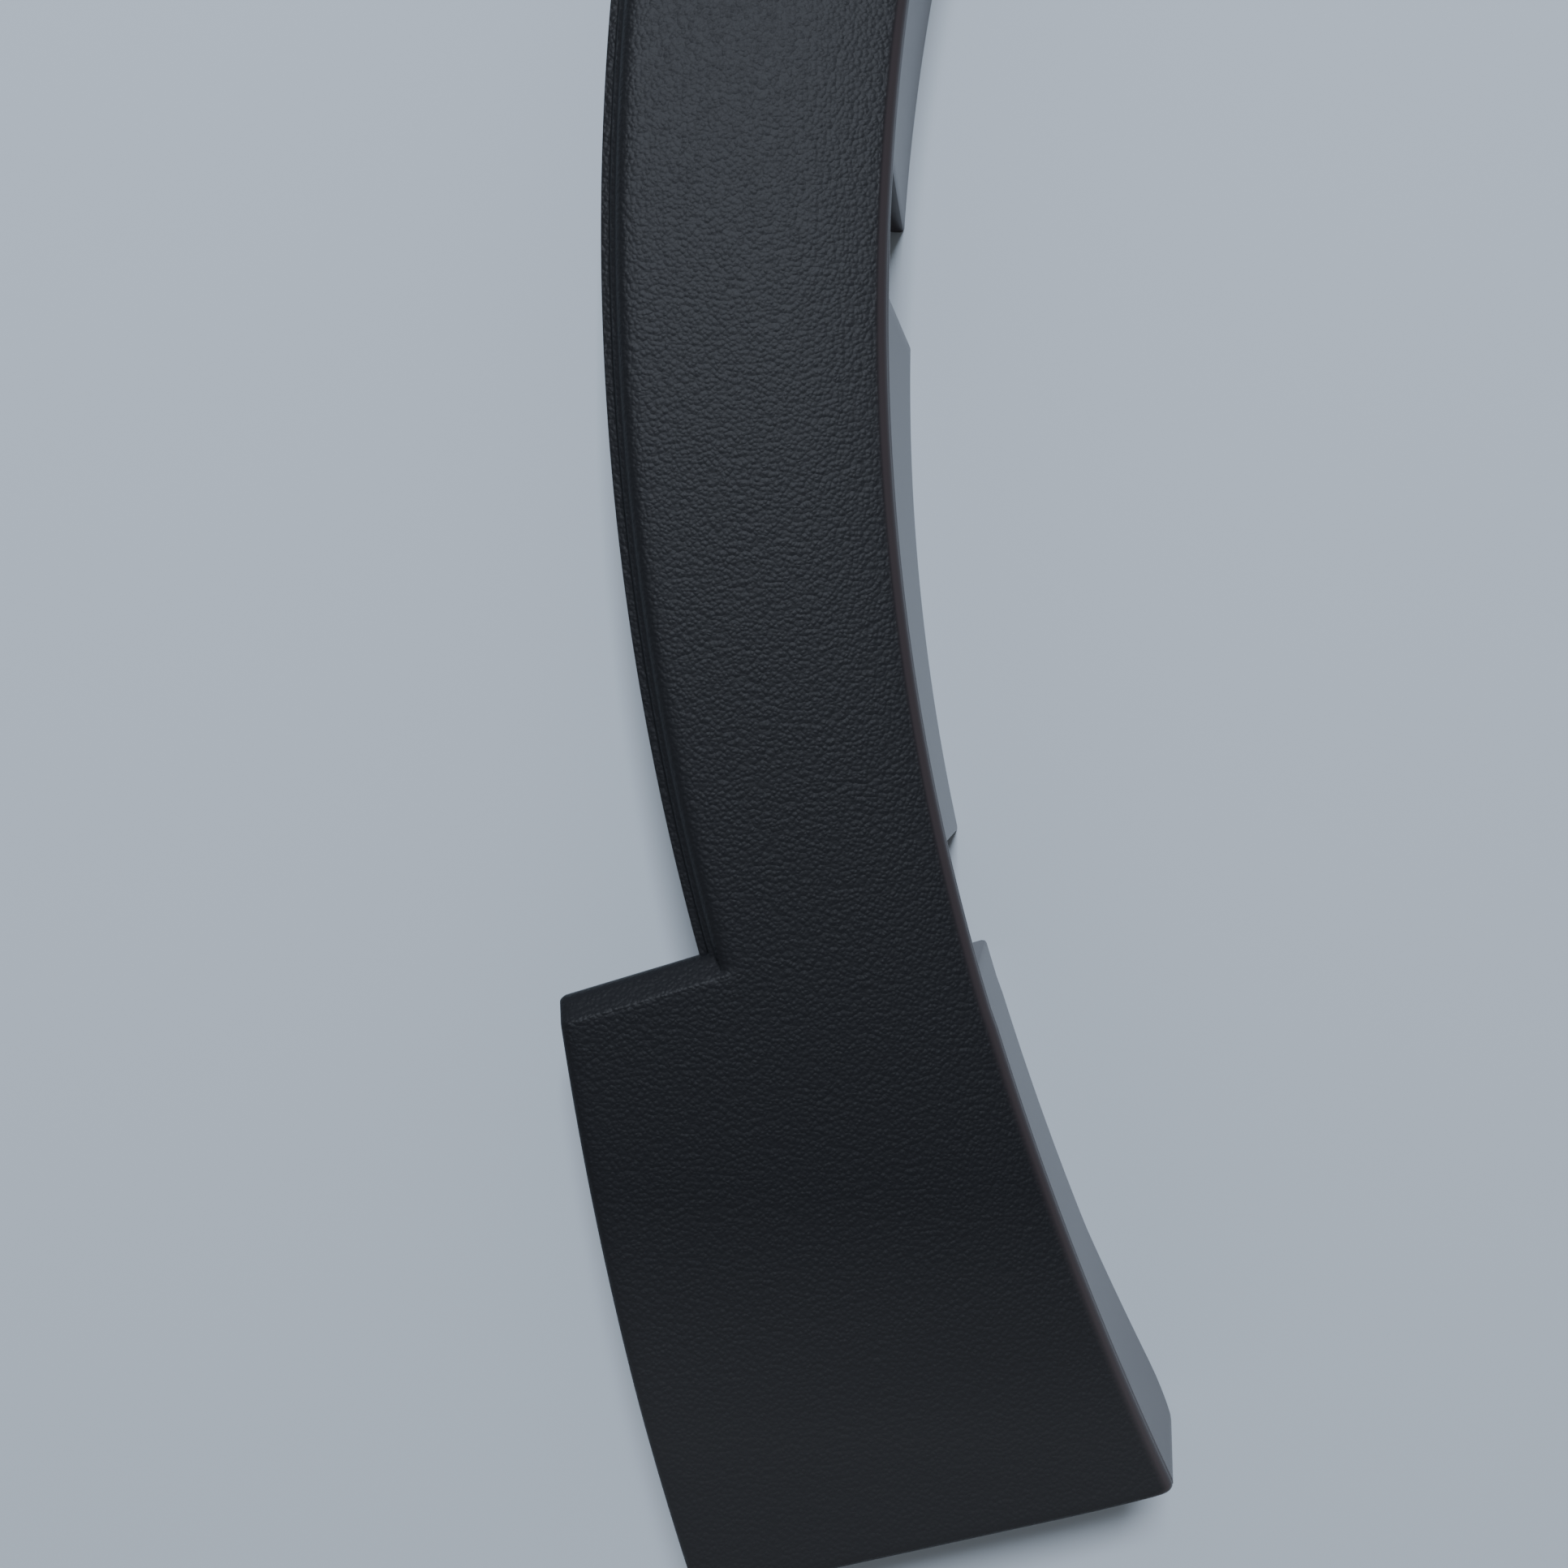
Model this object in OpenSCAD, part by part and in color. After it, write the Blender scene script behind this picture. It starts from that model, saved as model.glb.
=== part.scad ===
// Wheel arch trim: one moulding that edges a wheel opening, with a wide foot
// at its lower end. It lies on the back edge of its wheel-side flange, show
// face up. The origin is the centre of the wheel opening, on the plane that
// the flange rests on. X points from the foot side towards the wheel, Y up
// the car, Z out of the car.

/* [Arch] */
// Radius of the wheel opening, along the edge of the show face
opening_r = 396; // [320:1:480]
// Angle below the wheel's centre line where the arch straightens
straighten_deg = 18.7; // [17:0.1:20]
// How much greater the radius of the straighter lower stretch is than the opening's
lower_w = 169; // [120:1:240]
// Angle from one screw pocket to the next
pocket_pitch = 16.4; // [13:0.1:18]
// Number of screw pockets along the flange
pocket_count = 8; // [3:1:8]

/* [Outer edge] */
// How much greater the outer edge's radius is beside the wheel than the opening's
outer_w = 57.2; // [50:0.1:70]
// How far the centre of that edge lies towards the wheel
outer_shift_x = 9.4; // [5:0.1:14]
// How far the centre of that edge lies above the wheel's centre
outer_shift_y = 14.8; // [8:0.1:20]
// The same over the wheel, where the outer edge bends more
crown_w = 35.5; // [29:0.1:44]
// Angle above the centre line where the outer edge passes into that radius
crown_deg = 7; // [5:0.5:12]

/* [Section] */
// Height of the show face above the flange's back edge
face_h = 34; // [26:0.5:40]
// Wall thickness of the skin, rims, flange and pockets
wall = 2.5; // [1.8:0.1:3]
// How far the show face stands off the wing that the trim lies against
stand_off = 6; // [5:0.1:9]
// Radius of the show face's edge on the wheel side
edge_r = 2; // [1:0.1:2.4]
// How far the flange leans towards the wheel at its back edge
flange_lean = 5.7; // [2:0.1:9]

/* [Lip] */
// Width of the thin lip along the outer edge
lip_w = 1.3; // [0.8:0.1:3]
// Thickness of that lip
lip_t = 1.8; // [1:0.1:2.5]
// Width of the stepped riser between the lip and the show face
riser_w = 2.1; // [1.5:0.1:4]
// Radius of the shoulder at the top of the riser
shoulder_r = 1.4; // [0.5:0.1:2]

/* [Foot] */
// Angle below the centre of the outer edge at which the foot's step begins
step_deg = 15.5; // [12:0.1:17]
// Slope of the foot's top edge
step_slope = 16.7; // [10:0.1:20]
// Length of the foot's top edge outside the arch
step_w = 24.4; // [15:0.1:35]
// Radius of the roll-over along the foot's top edge
step_r = 5; // [3:0.1:5.5]
// Length of the foot's outer edge
foot_h = 102.3; // [85:0.1:110]
// Slant of the foot's outer edge
foot_slant = 13; // [9:0.1:16]
// Radius of the foot's gently bowed outer edge
foot_bow_r = 617; // [400:1:900]
// Slope of the foot's bottom edge
bottom_slope = 12.3; // [5:0.1:16]
// Radius of the rounded edges along the foot's outer and bottom edges
foot_edge_r = 1.5; // [0.5:0.1:2]
// Height of the strip at the bottom of the foot that falls away
strip_h = 33.5; // [15:0.5:45]
// Angle by which it falls away
strip_deg = 3; // [1:0.5:5]
// Radius of the flange's lower back corner
flange_end_r = 10; // [4:1:28]

/* [Screw pockets] */
// Width of a pocket
pocket_w = 21; // [14:0.5:26]
// Depth of a pocket behind the edge of the show face
pocket_d = 9; // [5:0.5:12]
// Thickness of the show face over a pocket
pocket_roof = 3.6; // [2.9:0.1:5]
// Angle of the lowest pocket, below the centre line
pocket_from = 14.3; // [12:0.1:15]
// Diameter of the screw hole in a pocket
screw_d = 7; // [4:0.1:9]
// Height of the screw hole above the flange's back edge
screw_h = 15; // [9:0.5:18]

/* [Hidden] */
$fn = 96;
black_plastic = [0.12, 0.125, 0.135];

// Height of the upright stretch between the leaning flange and the rounded edge
rim_h = 0.5;
// Levels
wing_z = face_h - stand_off;
lip_z = wing_z + lip_t;
skin_z = face_h - wall;
rim_z = face_h - edge_r - rim_h;
// How far a cutter or an open side runs past what it cuts
over = 1;
// A length greater than the whole part
far = 3 * opening_r;
// Where the flange's rising curve meets the foot's bottom edge and the back edge
end_lead = 0.3;
end_step = 0.5;
// Chamfer of the lip
lip_chamfer = 0.2;
// The small ledge half-way up the riser, in parts of its width and height
ledge_from = 0.3;
ledge_to = 0.65;
ledge_low = 0.35;
ledge_high = 0.42;
// Rim left beside the hollow under the riser
riser_wall = wall - 0.4;
// Small angles at which one arc of an edge crosses the next
lower_bend = 0.8;
crown_bend = 1;

// Radii that follow the opening's
outer_r = opening_r + outer_w;
crown_r = opening_r + crown_w;
lower_r = opening_r + lower_w;

// Angles counted from +X, anticlockwise
joint_a = 180 + straighten_deg;
arch_end_a = 180 + pocket_from - (pocket_count - 0.5) * pocket_pitch;
step_a = 180 + step_deg;

// Centre of the lower stretch, and how far above the joint its arc lies within
// the opening
joint_c = opening_r * [cos(joint_a), sin(joint_a)];
lower_c = joint_c - lower_r * [cos(joint_a - lower_bend), sin(joint_a - lower_bend)];
lower_lead = opening_r * lower_r * sin(lower_bend) / (lower_r - opening_r);

// Centres of the outer edge
outer_c = [outer_shift_x, outer_shift_y];
crown_a = 180 - crown_deg;
crown_c = outer_c + outer_r * [cos(crown_a), sin(crown_a)]
    - crown_r * [cos(crown_a - crown_bend), sin(crown_a - crown_bend)];

// Corners of the foot
step_c = outer_c + outer_r * [cos(step_a), sin(step_a)];
foot_top = step_c - step_w * [cos(step_slope), sin(step_slope)];
foot_low = foot_top + foot_h * [sin(foot_slant), -cos(foot_slant)];
// Centre of the bow of the outer edge, on the wheel side of it
bow_mid = (foot_top + foot_low) / 2;
bow_back = sqrt(foot_bow_r * foot_bow_r - foot_h * foot_h / 4);
bow_c = bow_mid + bow_back * [cos(foot_slant), sin(foot_slant)];

function arc(c, r, from, to, n) =
    [for (i = [0:n]) c + r * [cos(from + (to - from) * i / n), sin(from + (to - from) * i / n)]];

// Half section of the wheel opening: the space in front of the flange and the
// rounded edge of the show face. r is the radius of the edge.
function opening_half(r) = concat(
    [[0, -over], [r - flange_lean * (1 + over / rim_z), -over], [r, rim_z]],
    arc([r + edge_r, face_h - edge_r], edge_r, 180, 100, 5),
    [[r + edge_r + 3 * over, face_h + over / 2], [0, face_h + over / 2]]);

// The same half section, moved out by one wall
function flange_half(r) = [
    [0, -over], [r + wall - flange_lean * (1 + over / rim_z), -over], [r + wall, rim_z],
    [r + wall, skin_z + over], [0, skin_z + over]];

// Half section of the disc within the arch's outer edge: lip, riser, shoulder
function disc_half(r) = let (s = r - lip_w - riser_w) concat(
    [[0, 0], [r, 0], [r, lip_z - lip_chamfer], [r - lip_chamfer, lip_z], [r - lip_w, lip_z],
     [r - lip_w - riser_w * ledge_from, lip_z + (face_h - lip_z) * ledge_low],
     [r - lip_w - riser_w * ledge_to, lip_z + (face_h - lip_z) * ledge_high]],
    arc([s - shoulder_r, face_h - shoulder_r], shoulder_r, 10, 90, 6),
    [[0, face_h]]);

module ring(c, h) {
    translate(c) rotate_extrude($fn = 360) polygon(h);
}

// Everything on the side of a line through c that lies clockwise of angle a
module side(c, a) {
    translate(c) rotate([0, 0, a]) translate([-far, -2 * far, -2 * over]) cube([2 * far, 2 * far, face_h + 4 * over]);
}

// The space of the wheel opening
module opening() {
    ring([0, 0], opening_half(opening_r));
    intersection() {
        ring(lower_c, opening_half(lower_r));
        lower_stretch();
    }
}

// The same space with the flange's wall and what lies under the edge
module opening_and_flange() {
    ring([0, 0], flange_half(opening_r));
    intersection() {
        ring(lower_c, flange_half(lower_r));
        lower_stretch();
    }
}

module lower_stretch() {
    side(joint_c + lower_lead * [sin(joint_a), -cos(joint_a)], straighten_deg);
}

// The stretch of the arch between its plain end and the foot
module arch_stretch(past) {
    intersection() {
        side([0, 0], arch_end_a - past + 180);
        side([0, 0], step_a + 3);
    }
}

// The disc within the arch's outer edge
module arch_form() {
    intersection() {
        ring(outer_c, disc_half(outer_r));
        ring(crown_c, disc_half(crown_r));
        arch_stretch(0);
    }
}

module arch_hollow() {
    inset = lip_w + riser_w + riser_wall;
    intersection() {
        translate([outer_c.x, outer_c.y, -over]) cylinder(r = outer_r - inset, h = skin_z + over, $fn = 360);
        translate([crown_c.x, crown_c.y, -over]) cylinder(r = crown_r - inset, h = skin_z + over, $fn = 360);
        arch_stretch(over);
    }
}

// All that lies within the foot's outline, moved in by inset, from z = base
module foot_form(inset, base) {
    top = face_h - inset;
    intersection() {
        ring(bow_c, concat([[0, base], [foot_bow_r - inset, base]],
            arc([foot_bow_r - inset - foot_edge_r, top - foot_edge_r], foot_edge_r, 0, 90, 4), [[0, top]]));
        // Below the step's edge, with its roll-over
        translate(step_c) rotate([0, 0, step_slope]) translate([-far / 4, -inset, 0])
            rotate([90, 0, 90]) linear_extrude(far / 2) step_section(step_r - inset / 2, top);
        // Above the bottom edge, with the strip that falls away
        translate(foot_low) rotate([0, 0, bottom_slope]) translate([-far / 4, inset, 0])
            rotate([90, 0, 90]) linear_extrude(far / 2) strip_section(strip_h - inset, top);
    }
}

module step_section(r, top) {
    polygon(concat([[-far / 2, -2 * over], [0, -2 * over]],
        arc([-r, top - r], r, 0, 90, 8), [[-far / 2, top + over], [-2 * r, top + over], [-2 * r, top]]));
}

module strip_section(h, top) {
    low = top - h * tan(strip_deg);
    polygon(concat([[far / 2, -2 * over], [far / 2, top + over], [h + over / tan(strip_deg), top + over]],
        arc([foot_edge_r, low - foot_edge_r], foot_edge_r, 90, 180, 4), [[0, -2 * over]]));
}

// Puts children at a pocket, with X pointing out of the wheel opening, its
// zero at the edge of the show face, and Y across the pocket
module at_pockets() {
    for (i = [0 : pocket_count - 1]) rotate([0, 0, 180 + pocket_from - i * pocket_pitch])
        translate([opening_r, 0, 0]) children();
}

// A pocket with its walls
module pocket_block() {
    translate([-far / 8, -pocket_w / 2 - wall, -2 * over])
        cube([far / 8 + pocket_d + wall, pocket_w + 2 * wall, face_h + 2 * over]);
}

module pocket_recess() {
    translate([-flange_lean - 2 * over, -pocket_w / 2, -over])
        cube([flange_lean + 2 * over + pocket_d, pocket_w, face_h - pocket_roof + over]);
}

module screw_hole() {
    translate([pocket_d - over, 0, screw_h]) rotate([0, 90, 0]) cylinder(d = screw_d, h = wall + 2 * over);
}

// The flange's lower back corner is rounded
module flange_end() {
    mid = [flange_end_r - end_lead, flange_end_r + end_step];
    translate(foot_low) rotate([0, 0, bottom_slope]) rotate([90, 0, 90]) linear_extrude(far / 2) difference() {
        translate([-over, -over]) square([mid.x + over, mid.y + over]);
        translate(mid) circle(r = flange_end_r);
    }
}

// The hollow behind the skin: it leaves the flange, the rims and the pockets
module hollow() {
    difference() {
        union() {
            arch_hollow();
            foot_form(wall, -over);
            translate([-far, -far, -2 * over]) cube([2 * far, 2 * far, wing_z + 2 * over]);
        }
        opening_and_flange();
        at_pockets() pocket_block();
    }
}

module arch_trim() {
    color(black_plastic) difference() {
        union() { arch_form(); foot_form(0, 0); }
        opening();
        hollow();
        at_pockets() { pocket_recess(); screw_hole(); }
        flange_end();
    }
}

arch_trim();
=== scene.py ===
# %% [markdown]
# A wheel arch trim in Blender.
# The real piece is one moulding of black polypropylene that edges a car's wheel opening. It was made in one
# shot: a thin grained skin, a flange that stands off its wheel side with recesses for the screws, a thin lip
# along its outer edge, and a wide foot at its lower end. It lies on the back edge of the flange, show face up.
# We load the solid model first, as a frame, and then build one finer piece over it.

# %% Load the frame
import math
import bmesh
import bpy
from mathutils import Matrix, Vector


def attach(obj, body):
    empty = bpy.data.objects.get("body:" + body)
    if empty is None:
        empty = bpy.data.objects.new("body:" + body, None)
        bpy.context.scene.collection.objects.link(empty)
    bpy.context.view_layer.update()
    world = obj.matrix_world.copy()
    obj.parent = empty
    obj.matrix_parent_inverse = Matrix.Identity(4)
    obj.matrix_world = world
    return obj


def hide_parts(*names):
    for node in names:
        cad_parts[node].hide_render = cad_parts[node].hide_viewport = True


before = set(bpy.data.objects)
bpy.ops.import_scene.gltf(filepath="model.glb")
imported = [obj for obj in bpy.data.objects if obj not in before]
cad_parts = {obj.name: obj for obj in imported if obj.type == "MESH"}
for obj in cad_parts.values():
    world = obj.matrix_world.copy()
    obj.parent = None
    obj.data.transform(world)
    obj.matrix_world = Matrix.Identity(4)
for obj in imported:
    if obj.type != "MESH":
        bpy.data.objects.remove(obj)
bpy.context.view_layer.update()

# %% [markdown]
# All sizes below are in millimetres, with the centre of the wheel opening as the origin and the floor at zero.
# Each vertex is turned into metres when it is put in place. The edges of the trim are arcs, so we keep each as
# a centre and a radius, and small functions find points on them. A curve object could do this too, but the
# arcs' own numbers keep the piece true to the solid model.

# %% Arcs of the band
FACE = 34.0                   # height of the show face
SEAT = 28.0                   # height of the rims that rest against the wing
OPENING = (0.0, 0.0, 396.0)   # wheel side of the arch: centre and radius
LOWER = (184.8, 56.2, 589.0)  # wheel side of the foot, a flatter arc
STRAIGHTENS = 16.9            # degrees below the centre line at which the one goes over to the other
OUTER = (9.4, 14.8, 453.2)    # outer edge
CROWN_R = 431.5               # radius of the outer edge over the top of the arch
CROWN_STARTS = 173            # degrees round the outer arc
CROWN_WAY = 172               # degrees from the crown's centre to its start


def on_circle(circle, degrees):
    """Point of a circle (x, y, radius) at an angle."""
    a = math.radians(degrees)
    return Vector((circle[0] + circle[2] * math.cos(a), circle[1] + circle[2] * math.sin(a)))


def heading(degrees):
    """A step of length one in a direction."""
    a = math.radians(degrees)
    return Vector((math.cos(a), math.sin(a)))


crown_start = on_circle(OUTER, CROWN_STARTS)
crown_middle = crown_start - CROWN_R * heading(CROWN_WAY)
CROWN = (crown_middle.x, crown_middle.y, CROWN_R)
print("the crown's arc starts at", crown_start[:])

# %% [markdown]
# The foot juts out from the band with a straight step, has a bowed outer edge, and ends in a straight bottom
# edge. Both straight edges slope, by the angles that they make with the picture's level.

# %% Corners of the foot
STEP_AT = 195.5      # degrees round the outer arc at which the step leaves it
STEP_SLOPE = 16.7
STEP_W = 24.4
BOTTOM_SLOPE = 12.3
FOOT_H = 102.3       # from the step's outer corner to the foot's lower one
FOOT_WAY = -77       # direction of that line, in degrees
BOW_R = 617.0        # radius of the bowed edge between the two
step_inner = on_circle(OUTER, STEP_AT)
step_outer = step_inner - STEP_W * heading(STEP_SLOPE)
foot_low = step_outer + FOOT_H * heading(FOOT_WAY)
to_bow_middle = math.sqrt(BOW_R ** 2 - FOOT_H ** 2 / 4) * heading(FOOT_WAY + 90)
bow_middle = (step_outer + foot_low) / 2 + to_bow_middle
BOW = (bow_middle.x, bow_middle.y, BOW_R)
print("the foot's outer edge runs from", step_outer[:], "to", foot_low[:])


# %% [markdown]
# A place along the trim is given by s, the length along the face's wheel-side edge, counted downwards from the
# level line through the wheel's centre. It is less than zero above that line.

# %% Along the wheel-side edge
def wheel_edge(s):
    """Point of the face's wheel-side edge at s, and the way out from the wheel there."""
    turn = OPENING[2] * math.radians(STRAIGHTENS)
    if s <= turn:
        a = 180 + math.degrees(s / OPENING[2])
        return on_circle(OPENING, a), heading(a)
    a = 180 + STRAIGHTENS + math.degrees((s - turn) / LOWER[2])
    return on_circle(LOWER, a), heading(a)


def meets_circle(point, way, circle):
    """Distance along a way out from a point to a circle that the point lies inside."""
    to = point - Vector(circle[:2])
    b = to.dot(way)
    return -b + math.sqrt(max(0.0, b * b - to.length_squared + circle[2] ** 2))


def above_line(point, corner, slope):
    """How far a point lies above a sloping line through a corner."""
    return (point - corner).dot(heading(slope + 90))


def where_line_meets_edge(corner, slope):
    """The s at which a sloping line through a corner meets the wheel-side edge, found by halving."""
    low, high = 0.0, 300.0
    for _ in range(50):
        mid = (low + high) / 2
        if above_line(wheel_edge(mid)[0], corner, slope) > 0:
            low = mid
        else:
            high = mid
    return low


S_STEP = where_line_meets_edge(step_inner, STEP_SLOPE)
S_BOTTOM = where_line_meets_edge(foot_low, BOTTOM_SLOPE)
print("along the wheel-side edge: the step is at", round(S_STEP), "and the bottom at", round(S_BOTTOM))

# %% [markdown]
# The flange steps back at eight places, so that a screw can reach the wing through each. The walls of such a
# pocket are close to square, with small rounded corners, so its outline is a short list of places and depths.

# %% Screw pockets
PITCH = 16.4         # degrees from one pocket to the next
FIRST_POCKET = 14.3  # degrees below the centre line
POCKETS = 8
POCKET_DEEP = 9.0
# How a pocket is recessed from its edge to its middle: distance from the middle along the edge, and depth
RECESS = [(13.0, 0.0), (11.3, 0.0), (10.75, 0.2), (10.5, 0.8), (10.5, 4.4), (10.5, 8.2), (10.2, 8.8),
          (9.4, 9.0), (6.0, 9.0), (3.0, 9.0), (0.0, 9.0)]
RECESS_STEP = 1.3    # from one row of a pocket to the next, before it is moved to its place in the list
UPPER_END = 180 + FIRST_POCKET - (POCKETS - 0.5) * PITCH
S_END = math.radians(UPPER_END - 180) * OPENING[2]
pocket_middles = [OPENING[2] * math.radians(FIRST_POCKET - i * PITCH) for i in range(POCKETS)]


def pocket_path(s):
    """Where the flange lies below the pockets' roof: the s it is moved to, and its depth."""
    for middle in pocket_middles:
        u = abs(s - middle)
        if u < RECESS[0][0]:
            k = (RECESS[0][0] - u) / RECESS_STEP
            i = min(len(RECESS) - 2, int(k))
            t = k - i
            along = RECESS[i][0] + t * (RECESS[i + 1][0] - RECESS[i][0])
            deep = RECESS[i][1] + t * (RECESS[i + 1][1] - RECESS[i][1])
            return middle + math.copysign(along, s - middle), deep
    return s, 0.0


print(len(pocket_middles), "pockets, the last one", round(pocket_middles[-1] - S_END), "mm from the upper end")

# %% [markdown]
# The mesh is a lattice of rows and columns. A row crosses the band, and lies close to its neighbours where the
# surface turns: at each screw pocket, at the foot's step, and at its bottom edge. The rows of the foot turn
# slowly from the slope of the step to the slope of the bottom edge, so that both edges fall on a row.

# %% Rows
BELOW_STEP = (-3.0, -1.6, -0.8, -0.3, -0.08, 0.0, 0.2, 0.5, 0.9, 1.5, 2.3, 3.1, 3.85, 4.1, 4.35, 5.4, 6.6)
ABOVE_BOTTOM = (0.0, 0.12, 0.4, 0.85, 1.5, 2.4, 3.4, 5.0, 7.0, 9.8)
SQUARE_TO_BOTTOM = 0.965  # the edge meets the bottom at a slant, so a length along it counts for this much
ROW_GAP = 3.6             # between the other rows
LEAST_GAP = 0.06

rows = {round(S_END, 3)}
for middle in pocket_middles:
    rows.update(round(middle + k * RECESS_STEP, 3) for k in range(-10, 11))
rows.update(round(S_STEP + d, 3) for d in BELOW_STEP)
rows.update(round(S_BOTTOM - d / SQUARE_TO_BOTTOM, 3) for d in ABOVE_BOTTOM)
s = S_END + 4.0
while s < S_BOTTOM - 4.0:
    if all(abs(s - m) > 15 for m in pocket_middles) and not -4 < s - S_STEP < 9:
        rows.add(round(s, 3))
    s += ROW_GAP
rows = sorted(rows, reverse=True)
rows = [r for i, r in enumerate(rows) if i == 0 or rows[i - 1] - r > LEAST_GAP]
print(len(rows), "rows")

# %% Direction of a row
TURNS_OVER = 60  # length over which the rows turn from square to the edge to the step's slope


def row_way(s):
    """The way a row runs out from the wheel-side edge."""
    way_out = wheel_edge(s)[1]
    if s <= S_STEP - TURNS_OVER:
        return way_out
    if s <= S_STEP:
        a = math.degrees(math.atan2(-way_out.y, -way_out.x)) % 360
        t = (s - S_STEP + TURNS_OVER) / TURNS_OVER
        t = t * t * (3 - 2 * t)
        return heading(a + 180 + t * (STEP_SLOPE - math.degrees(S_STEP / OPENING[2])))
    t = min(1.0, max(0.0, (s - S_STEP - 8) / (S_BOTTOM - S_STEP - 14)))
    return heading(180 + STEP_SLOPE + t * (BOTTOM_SLOPE - STEP_SLOPE))


print("the step's row runs out along", row_way(S_STEP)[:])

# %% [markdown]
# The columns give the section across the band, from the outer lip to the back edge of the flange. The outer
# ones are counted from the outer edge, the inner ones from the wheel-side edge, and the middle of the face
# stretches between them. The riser beside the lip has a small ledge half-way up, and the wheel side ends in a
# fine crease before it rolls over into the flange, as the tool that moulded it was cut.

# %% Columns
# Outer side: distance inwards from the outer edge, and height
OUTER_SIDE = [(0.0, 28.0), (0.0, 29.55), (0.07, 29.73), (0.25, 29.8), (1.15, 29.8), (1.4, 29.9), (1.75, 31.2),
              (1.9, 31.5), (2.35, 31.62), (2.6, 31.8), (2.85, 32.6), (3.1, 33.1), (3.5, 33.5), (4.1, 33.78),
              (4.9, 33.93), (6.0, 34.0)]
N_LIP = 3   # columns of the lip's side, which become the rim at the foot
MIDDLE = 9  # columns of the face between the two sides
# Wheel side: distance outwards from the wheel-side edge, and drop below the face
WHEEL_SIDE = [(18.0, 0.0), (15.0, 0.0), (12.0, 0.0), (9.0, 0.0), (6.5, 0.0), (4.6, 0.0), (3.3, 0.0), (2.4, 0.03),
              (2.1, 0.06), (1.9, 0.09), (1.7, 0.14), (1.5, 0.2), (1.2, 0.31), (0.95, 0.44), (0.66, 0.68),
              (0.36, 1.04), (0.14, 1.48), (0.03, 2.0)]
# Extra drop of the crease, by its place along the wheel side
CREASE = {9: 0.02, 10: 0.12, 11: 0.14, 12: 0.1, 13: 0.06, 14: 0.02}
# Flange: height, and whether it follows the pockets
FLANGE = [(31.2, False), (30.7, False), (30.4, False), (30.4, True), (29.6, True), (27.0, True), (24.0, True),
          (21.0, True), (18.0, True), (15.0, True), (12.0, True), (9.0, True), (6.0, True), (3.0, True),
          (1.2, True), (0.35, True), (0.0, True)]
N_OUTER, N_WHEEL = len(OUTER_SIDE), len(WHEEL_SIDE)
COLUMNS = N_OUTER + MIDDLE + N_WHEEL + len(FLANGE)
print(COLUMNS, "columns")

# %% [markdown]
# The show face isn't quite flat. Its edges are rounded, it falls a little towards the wheel, the strip at the
# foot's bottom bends away, and the foot's upper edge is a short slope. Each of these is a drop that depends on
# the distance from an edge, so that a point's height is the face's height less its drops.

# %% Drops of the face
EDGE_R = 1.5      # rounding of the foot's bottom and outer edges
CORNER_R = 1.5    # rounding in plan of the foot's corner beside the flange
SLOPE_R = 0.8     # rounding of the lower edge of the step's slope
STEEP = 0.75      # the slope's drop a millimetre
BEND_TOP = 4.35   # distances inside the step's edge between which the face bends into the slope
BEND_END = 3.85
BEND_DROP = 0.1875
STRIP_H = 33.5    # height of the strip at the foot's bottom
STRIP_SOFT = 5.0  # the strip's line is soft over this length to both sides
STRIP_FALL = math.tan(math.radians(3))
FALL_W = 18       # width over which the face falls towards the wheel
FALL = 0.9


def quarter(distance, radius):
    """Drop of a rounded edge at a distance inside it."""
    if distance >= radius:
        return 0.0
    return radius - math.sqrt(max(0.0, radius ** 2 - (radius - max(0.0, distance)) ** 2))


def step_fall(distance):
    """Drop of the step's edge at a distance inside it: a short bend, a slope, and a rounded lower edge."""
    if distance >= BEND_TOP:
        return 0.0
    if distance > BEND_END:
        return STEEP * (BEND_TOP - distance) ** 2
    return BEND_DROP + STEEP * (BEND_END - max(0.0, distance)) + quarter(distance, SLOPE_R)


def soft_fall(point):
    """Drop of the strip at the foot's bottom, which bends away along a soft line."""
    up = above_line(point, foot_low, BOTTOM_SLOPE)
    if up > STRIP_H + STRIP_SOFT:
        return 0.0
    if up > STRIP_H - STRIP_SOFT:
        return STRIP_FALL * (STRIP_H + STRIP_SOFT - up) ** 2 / (4 * STRIP_SOFT)
    return STRIP_FALL * (STRIP_H - up)


def wheel_fall(outwards):
    """Drop of the face near the wheel side, at a distance out from its edge."""
    return FALL * (1 - outwards / FALL_W) ** 2 if outwards < FALL_W else 0.0


def face_height(point, s, outer_profile=None):
    """Height of the show face at a point, from its rounded edges and falls."""
    z = FACE - soft_fall(point) - quarter(above_line(point, foot_low, BOTTOM_SLOPE), EDGE_R)
    if outer_profile is None:
        return z
    if s <= S_STEP - 0.01:
        return min(z, outer_profile)
    rolled = z - step_fall(-above_line(point, step_inner, STEP_SLOPE))
    return max(min(z, outer_profile), rolled)


print("the face drops", round(step_fall(0.0), 2), "mm at the step and", round(wheel_fall(0), 2), "mm by the wheel")

# %% [markdown]
# The flange doesn't stand upright. It leans towards the wheel at its back edge, so that we see it from above,
# and how much differs along the trim. In a pocket its walls stand straight. Its lower back corner is rounded.

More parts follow.
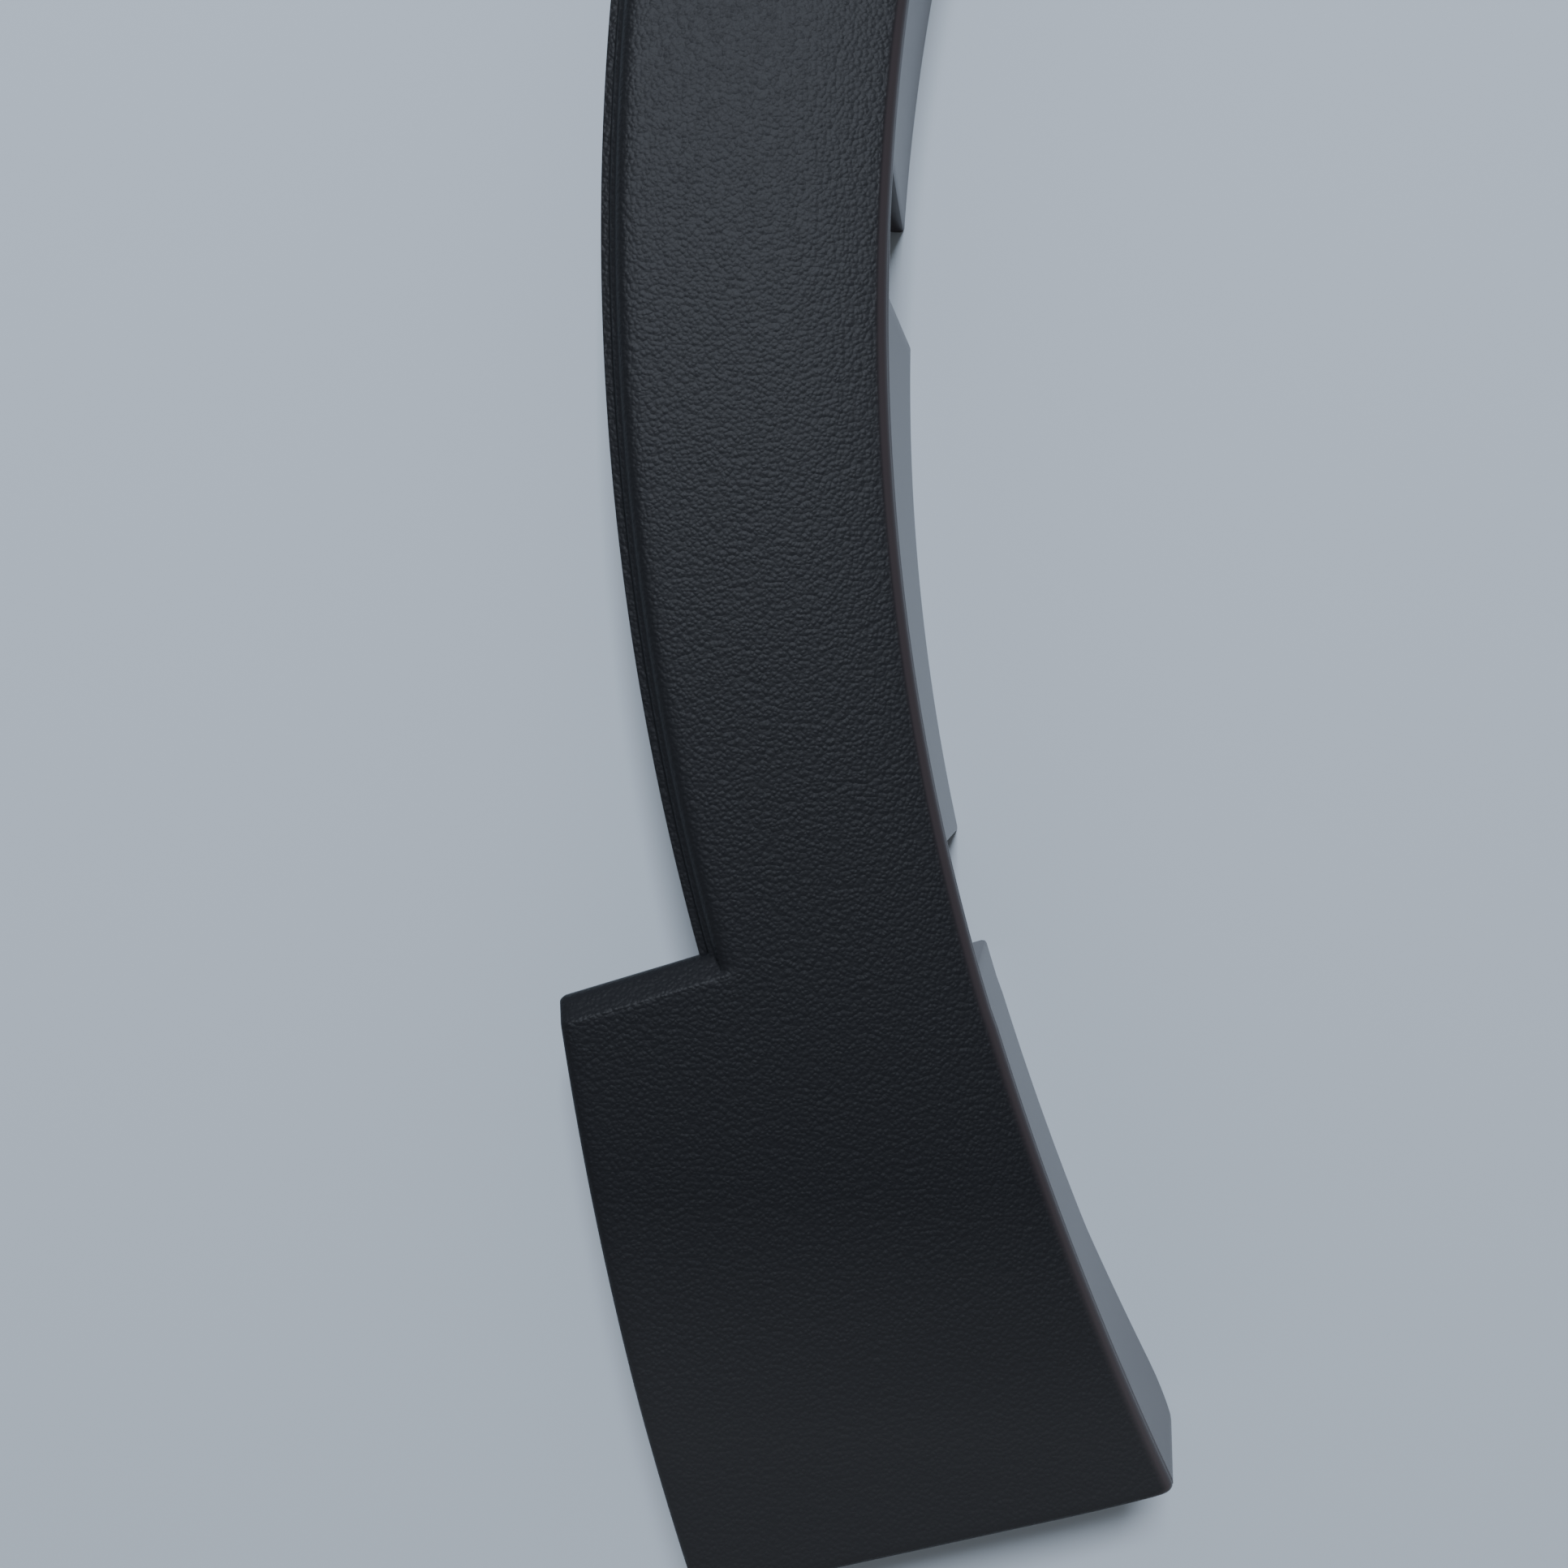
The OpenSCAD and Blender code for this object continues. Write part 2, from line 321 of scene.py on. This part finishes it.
# %% Lean and end of the flange
LEAN_HIGH = 4.35         # lean of the flange above the second pocket
LEAN_SECOND = 6.4        # just below the second pocket, from where it loses a little towards the first
LEAN_LOSS = 0.95
LOSS_OVER = 110
LEAN_FOOT = 5.45         # from the first pocket down, where it grows again
LEAN_GAIN = 0.25
LEAN_END_FROM = 0.65     # share of the way down from which it grows fast
LEAN_END_GAIN = 4.0
FLANGE_END_R = 10.0      # radius of the lower back corner
END_TURN = 40            # length over which the flange turns along the bottom edge
CREASE_ENDS = 50         # the crease ends this far below the step
CREASE_FADES = 60        # and fades over this length


def between(value):
    """A share kept between nothing and all."""
    return min(1.0, max(0.0, value))


def lean(s):
    """How far the flange leans towards the wheel at its back edge."""
    first, second = pocket_middles[:2]
    t = between((s - second + 3) / 6)
    low = LEAN_SECOND - LEAN_LOSS * between((s - second) / LOSS_OVER)
    if s > first:
        down = (s - first) / (S_BOTTOM - first)
        low = LEAN_FOOT + LEAN_GAIN * down + LEAN_END_GAIN * max(0.0, down - LEAN_END_FROM)
    return LEAN_HIGH + t * (low - LEAN_HIGH)


def flange_foot(s):
    """Height of the flange's back edge above the floor, where its lower corner is rounded."""
    return quarter(above_line(wheel_edge(s)[0], foot_low, BOTTOM_SLOPE), FLANGE_END_R)


def flange_way(s):
    """The way in which the flange leans: square to the edge, and along the bottom edge at the foot's end."""
    t = between((s - S_BOTTOM + END_TURN) / END_TURN)
    return (wheel_edge(s)[1] * (1 - t) + row_way(s) * t).normalized()


def crease_depth(s):
    """The crease beside the flange: full along the arch, fading out down the foot."""
    return between((S_STEP + CREASE_ENDS - s) / CREASE_FADES)


print("the flange leans", round(lean(S_END), 2), "mm at the upper end and", round(lean(S_BOTTOM), 2), "at the foot")

# %% [markdown]
# Each vertex of the lattice is put in its place by its row and column. The lattice itself comes from
# bmesh.ops.create_grid, so that Blender makes the faces. A profile that is spun would give even rows only.

# %% Place of a vertex of the band
FLANGE_BELOW = 0.25  # the flange's first column lies this far below the roll-over's last
RIM_ABOVE = 0.75     # the lean is counted from this far above that column
LEAST_ROOM = 0.6     # with less room than this above it, a column is moved down with the others
STRAIGHT_FROM = 0.8  # depth from which a pocket's walls stop leaning
STRAIGHT_OVER = 3.6


def outer_place(column, s, edge, way, to_outer):
    """A vertex of the lip, the riser or the face's outer edge."""
    in_foot = s > S_STEP - 0.01
    inwards, z = OUTER_SIDE[column]
    point = edge + way * (to_outer - inwards)
    if in_foot and column < N_LIP:
        point, z = edge + way * to_outer, SEAT
    z = face_height(point, s, z)
    if column == 0 and not in_foot:
        z = SEAT
    return point, z


def flange_place(column, s, edge, way, corner):
    """A vertex of the flange or of a pocket's wall."""
    z, in_pocket = FLANGE[column]
    low = flange_foot(s)
    top = face_height(edge, s) - WHEEL_SIDE[-1][1] - wheel_fall(0) - FLANGE_BELOW
    if top < z + LEAST_ROOM or low > 0:
        z = low + z * (top - low) / FLANGE[0][0]
    way_out, deep = wheel_edge(s)[1], 0.0
    if in_pocket:
        s, deep = pocket_path(s)
        edge, way_out = wheel_edge(s)
        edge = edge + way * corner
    if deep == 0.0:
        way_out = flange_way(s)
    rim = top + RIM_ABOVE
    straight = between((deep - STRAIGHT_FROM) / STRAIGHT_OVER)
    out = deep - lean(s) * (rim - z) / rim * (1 - straight)
    return edge + way_out * out, z


def band_place(column, row):
    """Where the band's vertex of a column and row lies: its place in plan, and its height."""
    s = rows[row]
    edge = wheel_edge(s)[0]
    way = row_way(s)
    corner = quarter(above_line(edge, foot_low, BOTTOM_SLOPE), CORNER_R)
    edge = edge + way * corner
    to_outer = min(meets_circle(edge, way, OUTER), meets_circle(edge, way, CROWN))
    if column < N_OUTER:
        return outer_place(column, s, edge, way, to_outer)
    column -= N_OUTER
    if column < MIDDLE:
        t = (column + 1) / (MIDDLE + 1)
        start, end = to_outer - OUTER_SIDE[-1][0], WHEEL_SIDE[0][0]
        point = edge + way * (start + t * (end - start))
        return point, face_height(point, s)
    column -= MIDDLE
    if column < N_WHEEL:
        outwards, drop = WHEEL_SIDE[column]
        point = edge + way * outwards
        crease = CREASE.get(column, 0.0) * crease_depth(s)
        return point, face_height(point, s) - drop - wheel_fall(outwards) - crease
    return flange_place(column - N_WHEEL, s, edge, way, corner)


# %% Make the band
def to_metres(point, z):
    """A place in plan and a height, both in millimetres, as a point in metres."""
    return Vector((point.x, point.y, z)) / 1000


def lattice(columns, n_rows, place):
    """A lattice of vertices, each moved to place(column, row)."""
    made = bmesh.new()
    bmesh.ops.create_grid(made, x_segments=columns - 1, y_segments=n_rows - 1, size=1.0)
    for v in made.verts:
        column = round((v.co.x + 1) / 2 * (columns - 1))
        row = round((v.co.y + 1) / 2 * (n_rows - 1))
        v.co = to_metres(*place(column, row))
    return made


trim = lattice(COLUMNS, len(rows), band_place)
print("the band's lattice:", len(trim.verts), "vertices,", len(trim.faces), "faces")

# %% [markdown]
# The part of the foot that stands out beyond the band is a second, smaller lattice. Its last column is the
# band's own edge, where the two are welded, and its first lies on the foot's bowed outer edge.

# %% Make the foot
FOOT_OUTER = [0.0, 0.12, 0.4, 0.85, 1.5]  # distances inwards from the bowed edge
FOOT_MIDDLE = 10                          # columns between those and the band
STEP_CORNER_R = 0.9                       # rounding in plan of the step's outer corner
STEP_CORNER_W = 3                         # width over which that rounding fades
RIM_LEAST = 0.4                           # least height of the foot's edge above its rim's lower edge
foot_rows = [r for r in rows if r >= S_STEP - 0.01]


def foot_place(column, row):
    """Where the foot's vertex of a column and row lies: its place in plan, and its height."""
    s = foot_rows[row]
    edge = wheel_edge(s)[0]
    way = row_way(s)
    start = meets_circle(edge, way, OUTER)
    end = meets_circle(edge, way, BOW)
    if column < len(FOOT_OUTER):
        along = end - FOOT_OUTER[column]
    else:
        t = (column - len(FOOT_OUTER) + 1) / (FOOT_MIDDLE + 1)
        along = end - FOOT_OUTER[-1] + t * (start - end + FOOT_OUTER[-1])
    below_step = -above_line(edge + way * end, step_inner, STEP_SLOPE)
    along -= quarter(below_step, STEP_CORNER_R) * max(0.0, 1 - (end - along) / STEP_CORNER_W)
    point = edge + way * along
    z = face_height(point, s) - quarter(end - along, EDGE_R)
    z -= step_fall(-above_line(point, step_inner, STEP_SLOPE))
    return point, max(z, SEAT + RIM_LEAST)


foot = lattice(len(FOOT_OUTER) + FOOT_MIDDLE + 1, len(foot_rows), foot_place)
print("the foot's lattice:", len(foot.verts), "vertices")

# %% Weld the foot to the band
WELD = 0.00003       # in metres, as the mesh is by now
SLIVER = 0.000005
foot_mesh = bpy.data.meshes.new("foot")
foot.to_mesh(foot_mesh)
foot.free()
trim.from_mesh(foot_mesh)
bpy.data.meshes.remove(foot_mesh)
bmesh.ops.remove_doubles(trim, verts=trim.verts, dist=WELD)
bmesh.ops.dissolve_degenerate(trim, dist=SLIVER, edges=trim.edges)
print("band and foot:", len(trim.verts), "vertices")


# %% [markdown]
# The rims hang from the foot's free edges down to the plane of the wing. They are drawn out of the lattice's
# open edges with an extrusion, which keeps them joined to the face.

# %% Rims of the foot
def is_foot_rim(edge):
    """Whether an edge is open and lies on the foot's step, bottom or bowed edge."""
    if len(edge.link_faces) != 1:
        return False
    for v in edge.verts:
        point = Vector((v.co.x, v.co.y)) * 1000
        beyond_band = (point - step_inner).dot(heading(STEP_SLOPE)) < 0.1
        on_step = abs(above_line(point, step_inner, STEP_SLOPE)) < 0.1 and beyond_band
        on_face = v.co.z * 1000 > SEAT + 0.2
        on_bottom = abs(above_line(point, foot_low, BOTTOM_SLOPE)) < 0.1 and on_face
        on_bow = abs((point - Vector(BOW[:2])).length - BOW[2]) < 1.0
        if not (on_step or on_bottom or on_bow):
            return False
    return True


rim_edges = [e for e in trim.edges if is_foot_rim(e)]
drawn = bmesh.ops.extrude_edge_only(trim, edges=rim_edges)
for v in [g for g in drawn["geom"] if isinstance(g, bmesh.types.BMVert)]:
    v.co.z = SEAT / 1000
print(len(rim_edges), "edges drawn down into rims")

# %% [markdown]
# Each pocket's back wall has a hole for its screw. We take out the faces within a square in the middle of the
# wall and push the square's border out to a circle. A boolean would do it too, but leaves long thin faces.

# %% Screw holes
HOLE_Z = 15.0
HOLE_R = 3.5
SQUARE_UP = 6.1      # half height and half width of the square that is opened
SQUARE_ACROSS = 6.5


def in_hole_square(co):
    """Where a point lies in the square around a pocket's hole: across, up, and the pocket's middle, or None."""
    point = Vector((co.x, co.y)) * 1000
    up = co.z * 1000 - HOLE_Z
    for middle in pocket_middles:
        edge, way_out = wheel_edge(middle)
        u = (point - edge).dot(Vector((-way_out.y, way_out.x)))
        on_wall = abs((point - edge).dot(way_out) - POCKET_DEEP) < 0.5
        if abs(up) < SQUARE_UP and abs(u) < SQUARE_ACROSS and on_wall:
            return u, up, middle
    return None


gone = [f for f in trim.faces if all(in_hole_square(v.co) for v in f.verts)]
print(len(gone), "faces taken out for", POCKETS, "holes")
bmesh.ops.delete(trim, geom=gone, context="FACES")
for v in trim.verts:
    found = in_hole_square(v.co)
    if found:
        u, up, middle = found
        edge, way_out = wheel_edge(middle)
        across = Vector((-way_out.y, way_out.x))
        size = math.hypot(u, up)
        point = edge + way_out * POCKET_DEEP + across * (u * HOLE_R / size)
        v.co = to_metres(point, HOLE_Z + up * HOLE_R / size)

# %% [markdown]
# So far the piece is a bare skin of vertices and faces, open at its edges. It becomes an object of its own,
# with its faces turned outwards: most of the skin has to look up.

# %% Make the object
mesh = bpy.data.meshes.new("arch_trim_moulding")
bmesh.ops.recalc_face_normals(trim, faces=trim.faces)
up_side = sum(f.normal.z * f.calc_area() for f in trim.faces)
if up_side < 0:
    bmesh.ops.reverse_faces(trim, faces=trim.faces)
for f in trim.faces:
    f.smooth = True
trim.to_mesh(mesh)
trim.free()
moulding = bpy.data.objects.new("arch_trim_moulding", mesh)
bpy.context.scene.collection.objects.link(moulding)
print("the skin:", len(mesh.vertices), "vertices")

# %% [markdown]
# An attribute tells the material where the skin is grained. The tool was etched on the show face and on the
# foot's slopes, and left smooth on the flange and on a narrow band beside it. The attribute falls from one to
# zero over a short length, so the grain ends softly.

# %% Where the skin is grained
WHEEL_HALF = 13        # within this distance of the wheel side only the face itself is grained
GRAIN_FROM = 32.9      # height from which it is, there
GRAIN_FROM_OUT = 28.5  # and further out, where the riser and the slopes are grained too
GRAIN_FADES = 0.4
BAND_W = 1.2           # width of the smooth band beside the flange
BAND_FADES = 0.35


def outwards_of(point):
    """How far a point lies out from the wheel-side edge."""
    if point.y < point.x * math.tan(math.radians(STRAIGHTENS)):
        return (point - Vector(LOWER[:2])).length - LOWER[2]
    return point.length - OPENING[2]


grained = mesh.attributes.new("grained", "FLOAT", "POINT")
heights = [v.co.z * 1000 for v in mesh.vertices]
plans = [v.co.xy * 1000 for v in mesh.vertices]
outs = [outwards_of(at) for at in plans]
grain_from = [(GRAIN_FROM if out < WHEEL_HALF else GRAIN_FROM_OUT) - soft_fall(at)
              for at, out in zip(plans, outs)]
grained.data.foreach_set("value", [between(min((z - g) / GRAIN_FADES, (out - BAND_W) / BAND_FADES))
                                   for z, g, out in zip(heights, grain_from, outs)])
print(sum(d.value > 0.5 for d in grained.data), "vertices are grained")

# %% [markdown]
# The wall gets its thickness from a Solidify modifier, which follows the surface inwards. A vertex group makes
# it thinner where the surface turns in less than the wall's own thickness, so the inner side doesn't fold over.
# The result is kept as a plain mesh, and edges sharper than a set angle are marked so that they shade crisply.

# %% Give the wall its thickness
WALL = 0.0025
THIN_SHARE = 0.6      # share of the wall that is left at the tight turns
TIGHT = (29.0, 33.4)  # heights between which the surface turns tightly
SHARP = 38            # degrees
thick = moulding.vertex_groups.new(name="wall")
for i, z in enumerate(heights):
    thick.add([i], THIN_SHARE if TIGHT[0] < z < TIGHT[1] else 1.0, "REPLACE")
solid = moulding.modifiers.new("wall", "SOLIDIFY")
solid.thickness = WALL
solid.offset = -1.0
solid.vertex_group = "wall"
solid.thickness_vertex_group = 0.0
solid.use_rim = True
depsgraph = bpy.context.evaluated_depsgraph_get()
walled = bpy.data.meshes.new_from_object(moulding.evaluated_get(depsgraph))
moulding.modifiers.clear()
moulding.data = walled
for v in walled.vertices:
    v.co.z = max(0.0, v.co.z)
walled.set_sharp_from_angle(angle=math.radians(SHARP))
print("the moulding:", len(walled.vertices), "vertices,", len(walled.polygons), "faces")

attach(moulding, "root")
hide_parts("arch_trim")


# %% [markdown]
# The material is black polypropylene, moulded against an etched tool. A material is a tree of nodes, so we
# first write one function that turns an sRGB hex colour to linear values, and one that adds a node with its
# settings and links.

# %% Helpers for materials
def linear(hex_colour):
    """An sRGB hex colour as linear values."""
    parts = [int(hex_colour[i:i + 2], 16) / 255 for i in (0, 2, 4)]
    return [c / 12.92 if c <= 0.04045 else ((c + 0.055) / 1.055) ** 2.4 for c in parts] + [1.0]


def add(tree, kind, inputs=(), **settings):
    """A node with its settings and links. An input is a value, or an output to link from."""
    made = tree.nodes.new(kind)
    for name, value in settings.items():
        setattr(made, name, value)
    for name, value in dict(inputs).items():
        if isinstance(value, bpy.types.NodeSocket):
            tree.links.new(value, made.inputs[name])
        else:
            made.inputs[name].default_value = value
    return made


print("mid grey in linear light:", round(linear("808080")[0], 3))

# %% [markdown]
# The etching leaves a fine leather-like grain of small pebbles, which gives the eye a satin black with fine
# light flecks. The real pebbles are 0.5 to 1 mm across. A cell pattern gives the pebbles, its places are
# shifted a little by a noise so that no straight lines show, and a second noise roughens their tops. The
# pattern only tilts the light through a bump, as it is a tenth of a millimetre deep.

# %% Grain of the etched tool
GRAIN_MM = 0.75          # from one pebble to the next
GRAIN_DEEP = 0.00015     # in metres
WANDER_SCALE = 420.0     # noise that shifts the pebbles, in waves a metre, and how far it shifts them in metres
WANDER = (0.0007, 0.0007, 0.0007)
FINE_SCALE = 1500.0
plastic = bpy.data.materials.new("moulded_black_polypropylene")
plastic.use_nodes = True
tree = plastic.node_tree
shader = tree.nodes["Principled BSDF"]
place = add(tree, "ShaderNodeTexCoord")
mask = add(tree, "ShaderNodeAttribute", attribute_name="grained")
wander = add(tree, "ShaderNodeTexNoise",
             {"Vector": place.outputs["Object"], "Scale": WANDER_SCALE, "Detail": 2.0})
shifted = add(tree, "ShaderNodeVectorMath", {0: wander.outputs["Color"], 1: WANDER}, operation="MULTIPLY")
bent = add(tree, "ShaderNodeVectorMath",
           {0: place.outputs["Object"], 1: shifted.outputs["Vector"]}, operation="ADD")
pebbles = add(tree, "ShaderNodeTexVoronoi",
              {"Vector": bent.outputs["Vector"], "Scale": 1000 / GRAIN_MM}, feature="SMOOTH_F1")
pebbles.inputs["Smoothness"].default_value = 0.2
fine = add(tree, "ShaderNodeTexNoise", {"Vector": place.outputs["Object"], "Scale": FINE_SCALE, "Detail": 2.0})
grain = add(tree, "ShaderNodeMath", {0: pebbles.outputs["Distance"], 1: 0.7}, operation="MULTIPLY")
both = add(tree, "ShaderNodeMath",
           {0: fine.outputs["Fac"], 1: 0.35, 2: grain.outputs["Value"]}, operation="MULTIPLY_ADD")
relief = add(tree, "ShaderNodeMath", {0: both.outputs["Value"], 1: mask.outputs["Fac"]}, operation="MULTIPLY")
bump = add(tree, "ShaderNodeBump",
           {"Height": relief.outputs["Value"], "Strength": 1.0, "Distance": GRAIN_DEEP}, invert=True)
tree.links.new(bump.outputs["Normal"], shader.inputs["Normal"])
print("grain: one pebble every", GRAIN_MM, "mm")

# %% [markdown]
# The grained face is satin. The flange and the band beside it were moulded against smooth steel, so they are
# glossier and show a soft reflection of the floor. Their base colour is lighter and warmer than the face's: a
# painted reflection of the floor, on plastic that is as black there as on the face. Towards the foot's end the
# face is painted slightly paler, a painted sheen of the light reflected there. The patterns read the piece's
# own attribute and its place in object coordinates, so they stay on it in every view.

# %% Black polypropylene, satin and smooth
SMOOTH_ROUGH, SATIN_ROUGH = 0.26, 0.52
# Distances from the wheel's centre inside which the flange and smooth band get the painted reflection
PAINTED_REFLECTION_TO, PAINTED_REFLECTION_GONE = 0.401, 0.406       # metres from the wheel's centre, between which the tone changes
# Where the painted sheen towards the foot's end starts and is full, and how strong it is
SHEEN_PAINTED_FROM, SHEEN_PAINTED_FULL = -0.145, -0.185      # heights in the picture, in metres
SHEEN_PAINTED_SHARE = 0.045
rough = add(tree, "ShaderNodeMapRange",
            {"Value": mask.outputs["Fac"], "To Min": SMOOTH_ROUGH, "To Max": SATIN_ROUGH})
tree.links.new(rough.outputs["Result"], shader.inputs["Roughness"])
shader.inputs["Specular IOR Level"].default_value = 0.19
shader.inputs["IOR"].default_value = 1.5
split_place = add(tree, "ShaderNodeSeparateXYZ", {"Vector": place.outputs["Object"]})
level = add(tree, "ShaderNodeVectorMath",
            {0: place.outputs["Object"], 1: (1.0, 1.0, 0.0)}, operation="MULTIPLY")
from_axle = add(tree, "ShaderNodeVectorMath", {0: level.outputs["Vector"]}, operation="LENGTH")
beyond = add(tree, "ShaderNodeMapRange",
             {"Value": from_axle.outputs["Value"], "From Min": PAINTED_REFLECTION_TO, "From Max": PAINTED_REFLECTION_GONE})
either = add(tree, "ShaderNodeMath",
             {0: mask.outputs["Fac"], 1: beyond.outputs["Result"]}, operation="MAXIMUM")
# Painted reflection: the flange and the smooth band get a lighter, warmer colour that stands in for the floor
# reflected in them
base_with_painted_reflection = add(tree, "ShaderNodeMix", {"Factor": either.outputs["Value"]}, data_type="RGBA")
base_with_painted_reflection.inputs[6].default_value = linear("383234")
base_with_painted_reflection.inputs[7].default_value = linear("17181b")
# Painted sheen: the face is mixed towards a pale grey near the foot's end, standing in for light reflected there
painted_sheen_place = add(tree, "ShaderNodeMapRange",
                 {"Value": split_place.outputs["Y"], "From Min": SHEEN_PAINTED_FROM, "From Max": SHEEN_PAINTED_FULL})
painted_sheen_amount = add(tree, "ShaderNodeMath", {0: painted_sheen_place.outputs["Result"], 1: SHEEN_PAINTED_SHARE}, operation="MULTIPLY")
painted_sheen = add(tree, "ShaderNodeMix", {"Factor": painted_sheen_amount.outputs["Value"]}, data_type="RGBA")
tree.links.new(base_with_painted_reflection.outputs[2], painted_sheen.inputs[6])
painted_sheen.inputs[7].default_value = linear("8f8d8b")
tree.links.new(painted_sheen.outputs[2], shader.inputs["Base Color"])
walled.materials.clear()
walled.materials.append(plastic)
print("black polypropylene with", len(tree.nodes), "nodes")

# %% [markdown]
# The floor is a plain pale sheet, matt like the one that the real piece was laid on. It isn't part of the
# object.

# %% Floor
FLOOR_SIZE = 6.0
bpy.ops.mesh.primitive_plane_add(size=FLOOR_SIZE, location=(-0.2, 0.0, 0.0))
floor = bpy.context.active_object
floor.name = "floor"
paper = bpy.data.materials.new("matt_pale_sheet")
paper.use_nodes = True
sheet = paper.node_tree.nodes["Principled BSDF"]
sheet.inputs["Base Color"].default_value = linear("bcc4cb")
sheet.inputs["Roughness"].default_value = 0.85
floor.data.materials.append(paper)
print("a floor of", FLOOR_SIZE, "metres")

# %% [markdown]
# The camera looks straight down, as in the photograph. It is close, and its lens is wide enough to show the
# flange beside the face.

# %% Camera
camera_data = bpy.data.cameras.new("camera")
camera_data.sensor_width = 36.0
camera_data.lens = 36.2
camera_data.clip_start = 0.01
camera = bpy.data.objects.new("camera", camera_data)
camera.location = (-0.4132, -0.0777, 0.293)
bpy.context.scene.collection.objects.link(camera)
bpy.context.scene.camera = camera
print("camera", tuple(camera.location))

# %% [markdown]
# One soft light stands for a window, far beyond the picture's top and high up, so that the upper end of the
# face reflects it and the lower part stays dark. The sky fills in, brighter at the horizon than overhead.

# %% Light and sky
AIM = (-0.41, -0.08, 0.0)
WINDOW_PLACE = (-0.45, 0.82, 1.6)
WINDOW_SIZE = (0.5, 0.3)
WINDOW_WATTS = 37.0
window = bpy.data.lights.new("window", "AREA")
window.shape = "RECTANGLE"
window.size, window.size_y = WINDOW_SIZE
window.energy = WINDOW_WATTS
window.color = linear("e8f1ff")[:3]
lamp = bpy.data.objects.new("window", window)
lamp.location = WINDOW_PLACE
lamp.rotation_euler = (Vector(AIM) - Vector(WINDOW_PLACE)).to_track_quat("-Z", "Y").to_euler()
bpy.context.scene.collection.objects.link(lamp)

SKY_HORIZON, SKY_OVERHEAD = 0.7, 0.16  # strengths
world = bpy.data.worlds.new("room")
bpy.context.scene.world = world
world.use_nodes = True
sky = world.node_tree
seen = add(sky, "ShaderNodeTexCoord")
split = add(sky, "ShaderNodeSeparateXYZ", {"Vector": seen.outputs["Generated"]})
fade = add(sky, "ShaderNodeMapRange",
           {"Value": split.outputs["Z"], "To Min": SKY_HORIZON, "To Max": SKY_OVERHEAD})
sky.nodes["Background"].inputs["Color"].default_value = linear("d9dde2")
sky.links.new(fade.outputs["Result"], sky.nodes["Background"].inputs["Strength"])
print("one window of", WINDOW_WATTS, "watts")
